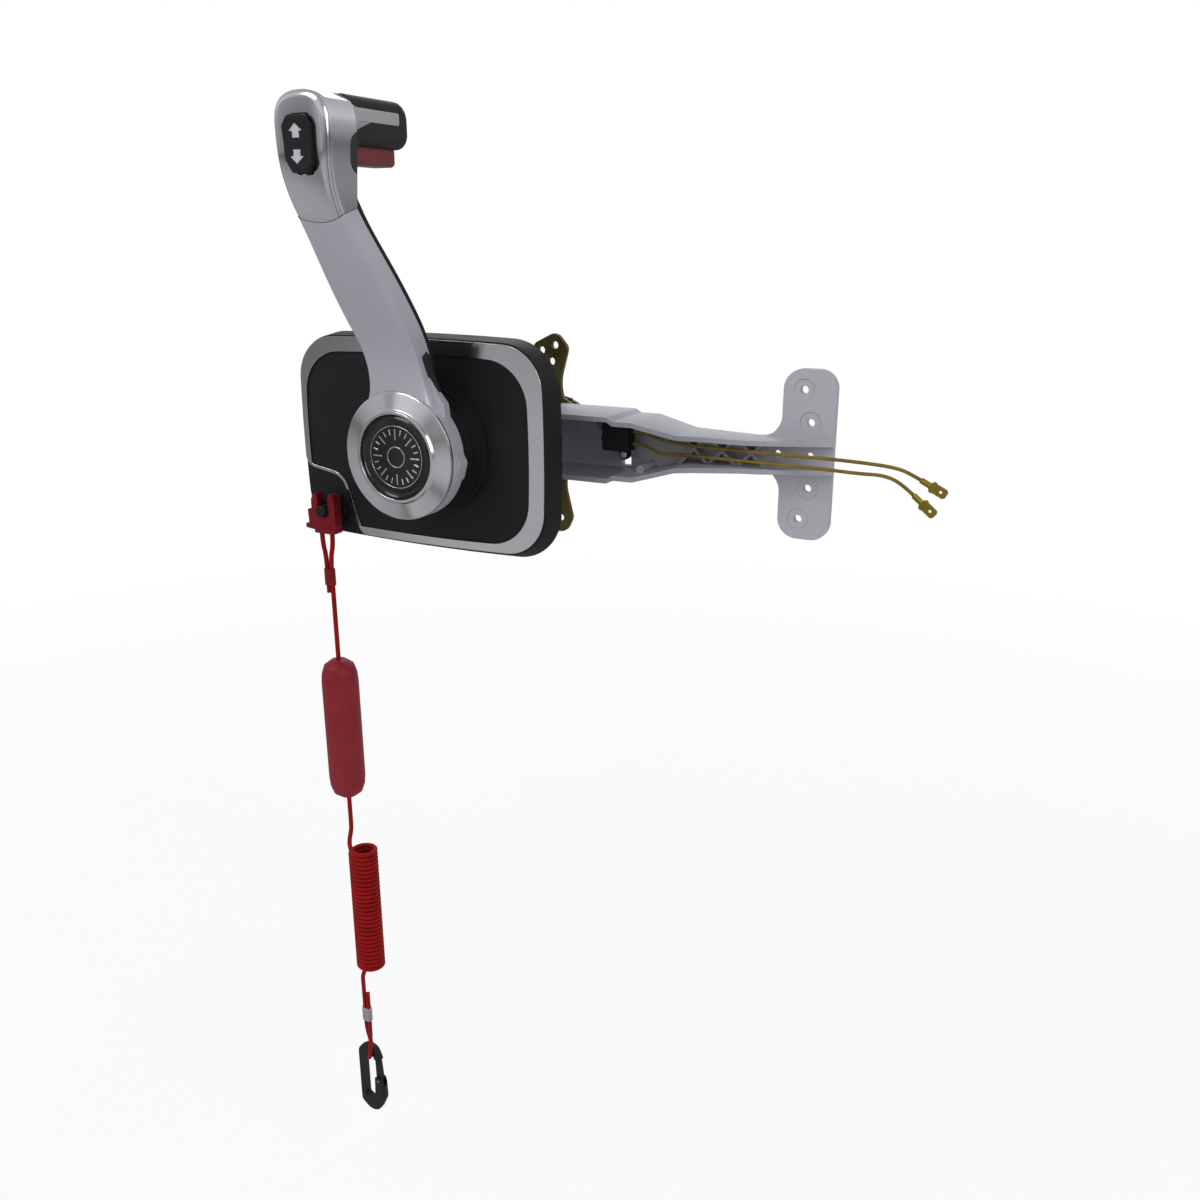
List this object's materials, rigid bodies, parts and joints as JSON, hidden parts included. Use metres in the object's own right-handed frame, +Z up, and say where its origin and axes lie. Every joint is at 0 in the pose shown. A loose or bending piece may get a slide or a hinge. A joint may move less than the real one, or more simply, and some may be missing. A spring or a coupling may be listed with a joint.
{
  "type": "side-mount boat control lever",
  "caption": "Side-mount boat control with cranked lever, trim rocker, lock trigger, stop switch lanyard, and a rear cable bracket with geared shift and throttle arms.",
  "frame": {"origin": "the lever's axis where it crosses the boat panel's face, which is the mounting plate's back", "axes": "+X from the panel towards the cable end of the bracket, +Y into the boat's side along the lever shaft, +Z up along the upright lever"},
  "size_m": [0.435, 0.2138, 0.7705],
  "materials": {
    "satin_casting": "satin, fine cast grain",
    "bright_chrome": "polished",
    "black_moulding": "fine moulded grain",
    "black_gloss": "gloss",
    "grip_rubber": "soft, matt",
    "cast_bracket": "as cast",
    "zinc_steel": "zinc plated",
    "bush_bronze": "machined",
    "gold_plate": "yellow passivated",
    "red_plastic": "moulded",
    "red_cord": "braided",
    "red_foam": "closed-cell foam",
    "bare_ferrule": "crimped",
    "hook_black": "moulded",
    "lead_sleeve": "extruded",
    "spade_brass": "stamped"
  },
  "bodies": {
    "panel_unit": {"mounting_plate": "zinc_steel", "face_cover": "black_moulding", "bezel_trim": "bright_chrome", "hub_collar": "black_moulding", "front_bush": "bush_bronze", "rear_bush": "bush_bronze", "cable_bracket": "cast_bracket", "housing_screws": "zinc_steel", "detent_spring": "zinc_steel", "detent_ball": "zinc_steel", "detent_screw": "zinc_steel", "neutral_switch": "black_gloss", "switch_screws": "zinc_steel", "upper_lead": "lead_sleeve", "lower_lead": "lead_sleeve", "upper_spade": "spade_brass", "lower_spade": "spade_brass", "arm_pivot_pin": "zinc_steel", "arm_spacer": "zinc_steel", "pivot_clip": "zinc_steel", "stop_switch": "black_moulding", "stop_switch_nut": "black_moulding"},
    "lever": {"lever_shaft": "zinc_steel", "drive_pinion": "zinc_steel", "pinion_clip": "zinc_steel", "detent_disc": "zinc_steel", "lever_arm": "satin_casting", "lever_head": "bright_chrome", "lever_back_cover": "black_moulding", "back_cover_screws": "zinc_steel", "grip": "grip_rubber", "grip_inlays": "bright_chrome", "trigger_spring": "zinc_steel", "rocker_pin": "zinc_steel", "hub_ring": "bright_chrome", "hub_cap": "black_gloss", "shaft_nut": "zinc_steel"},
    "throttle": {"throttle_arm": "gold_plate"},
    "shift": {"shift_arm": "gold_plate"},
    "trigger": {"lock_trigger": "red_plastic"},
    "rocker": {"trim_rocker": "black_moulding"},
    "plunger": {"switch_plunger": "black_gloss"},
    "button": {"stop_button": "black_moulding"},
    "lanyard": {"lanyard_clip": "red_plastic", "upper_loop": "red_cord", "upper_ferrule": "red_plastic", "main_cord": "red_cord", "cord_float": "red_foam", "cord_coil": "red_cord", "lower_cord": "red_cord", "lower_ferrule": "bare_ferrule", "lower_loop": "red_cord", "snap_hook": "hook_black", "gate_pin": "zinc_steel"},
    "gate": {"hook_gate": "hook_black"}
  },
  "joints": [
    {"name": "lever_tilt", "type": "hinge", "parent": "panel_unit", "child": "lever", "pos_m": [0, 0, 0], "axis": [0, 1, 0], "range_deg": [-70, 85]},
    {"name": "throttle_swing", "type": "hinge", "parent": "panel_unit", "child": "throttle", "pos_m": [0.046, 0.0755, 0], "axis": [0, 1, 0], "range_deg": [-38, 31]},
    {"name": "shift_swing", "type": "hinge", "parent": "panel_unit", "child": "shift", "pos_m": [0.046, 0.082, 0], "axis": [0, 1, 0], "range_deg": [-38, 31]},
    {"name": "trigger_lift", "type": "slide", "parent": "lever", "child": "trigger", "axis": [0, 0, 1], "range_m": [0, 0.005], "stiffness_N_per_m": 250, "springref_m": -0.003, "deforming": ["trigger_spring"]},
    {"name": "rocker_tilt", "type": "hinge", "parent": "lever", "child": "rocker", "pos_m": [0, -0.118, 0.18], "axis": [1, 0, 0], "range_deg": [-6, 6], "stiffness_Nm_per_rad": 0.6},
    {"name": "plunger_press", "type": "slide", "parent": "panel_unit", "child": "plunger", "axis": [1, 0, 0], "range_m": [0, 0.001], "stiffness_N_per_m": 250, "springref_m": -0.001},
    {"name": "button_press", "type": "slide", "parent": "panel_unit", "child": "button", "axis": [0, 1, 0], "range_m": [0, 0.003], "stiffness_N_per_m": 400, "springref_m": -0.002},
    {"name": "clip_pull", "type": "slide", "parent": "panel_unit", "child": "lanyard", "axis": [0, 0, -1], "range_m": [0, 0.025]},
    {"name": "gate_swing", "type": "hinge", "parent": "lanyard", "child": "gate", "pos_m": [-0.0734, -0.026, -0.532], "axis": [0, -1, 0], "range_deg": [0, 20], "stiffness_Nm_per_rad": 0.03, "springref_deg": -5.73}
  ],
  "couplings": [
    {"joint": "throttle_swing", "follows": "lever_tilt", "ratio": -0.4375},
    {"joint": "shift_swing", "follows": "lever_tilt", "ratio": -0.4375}
  ]
}
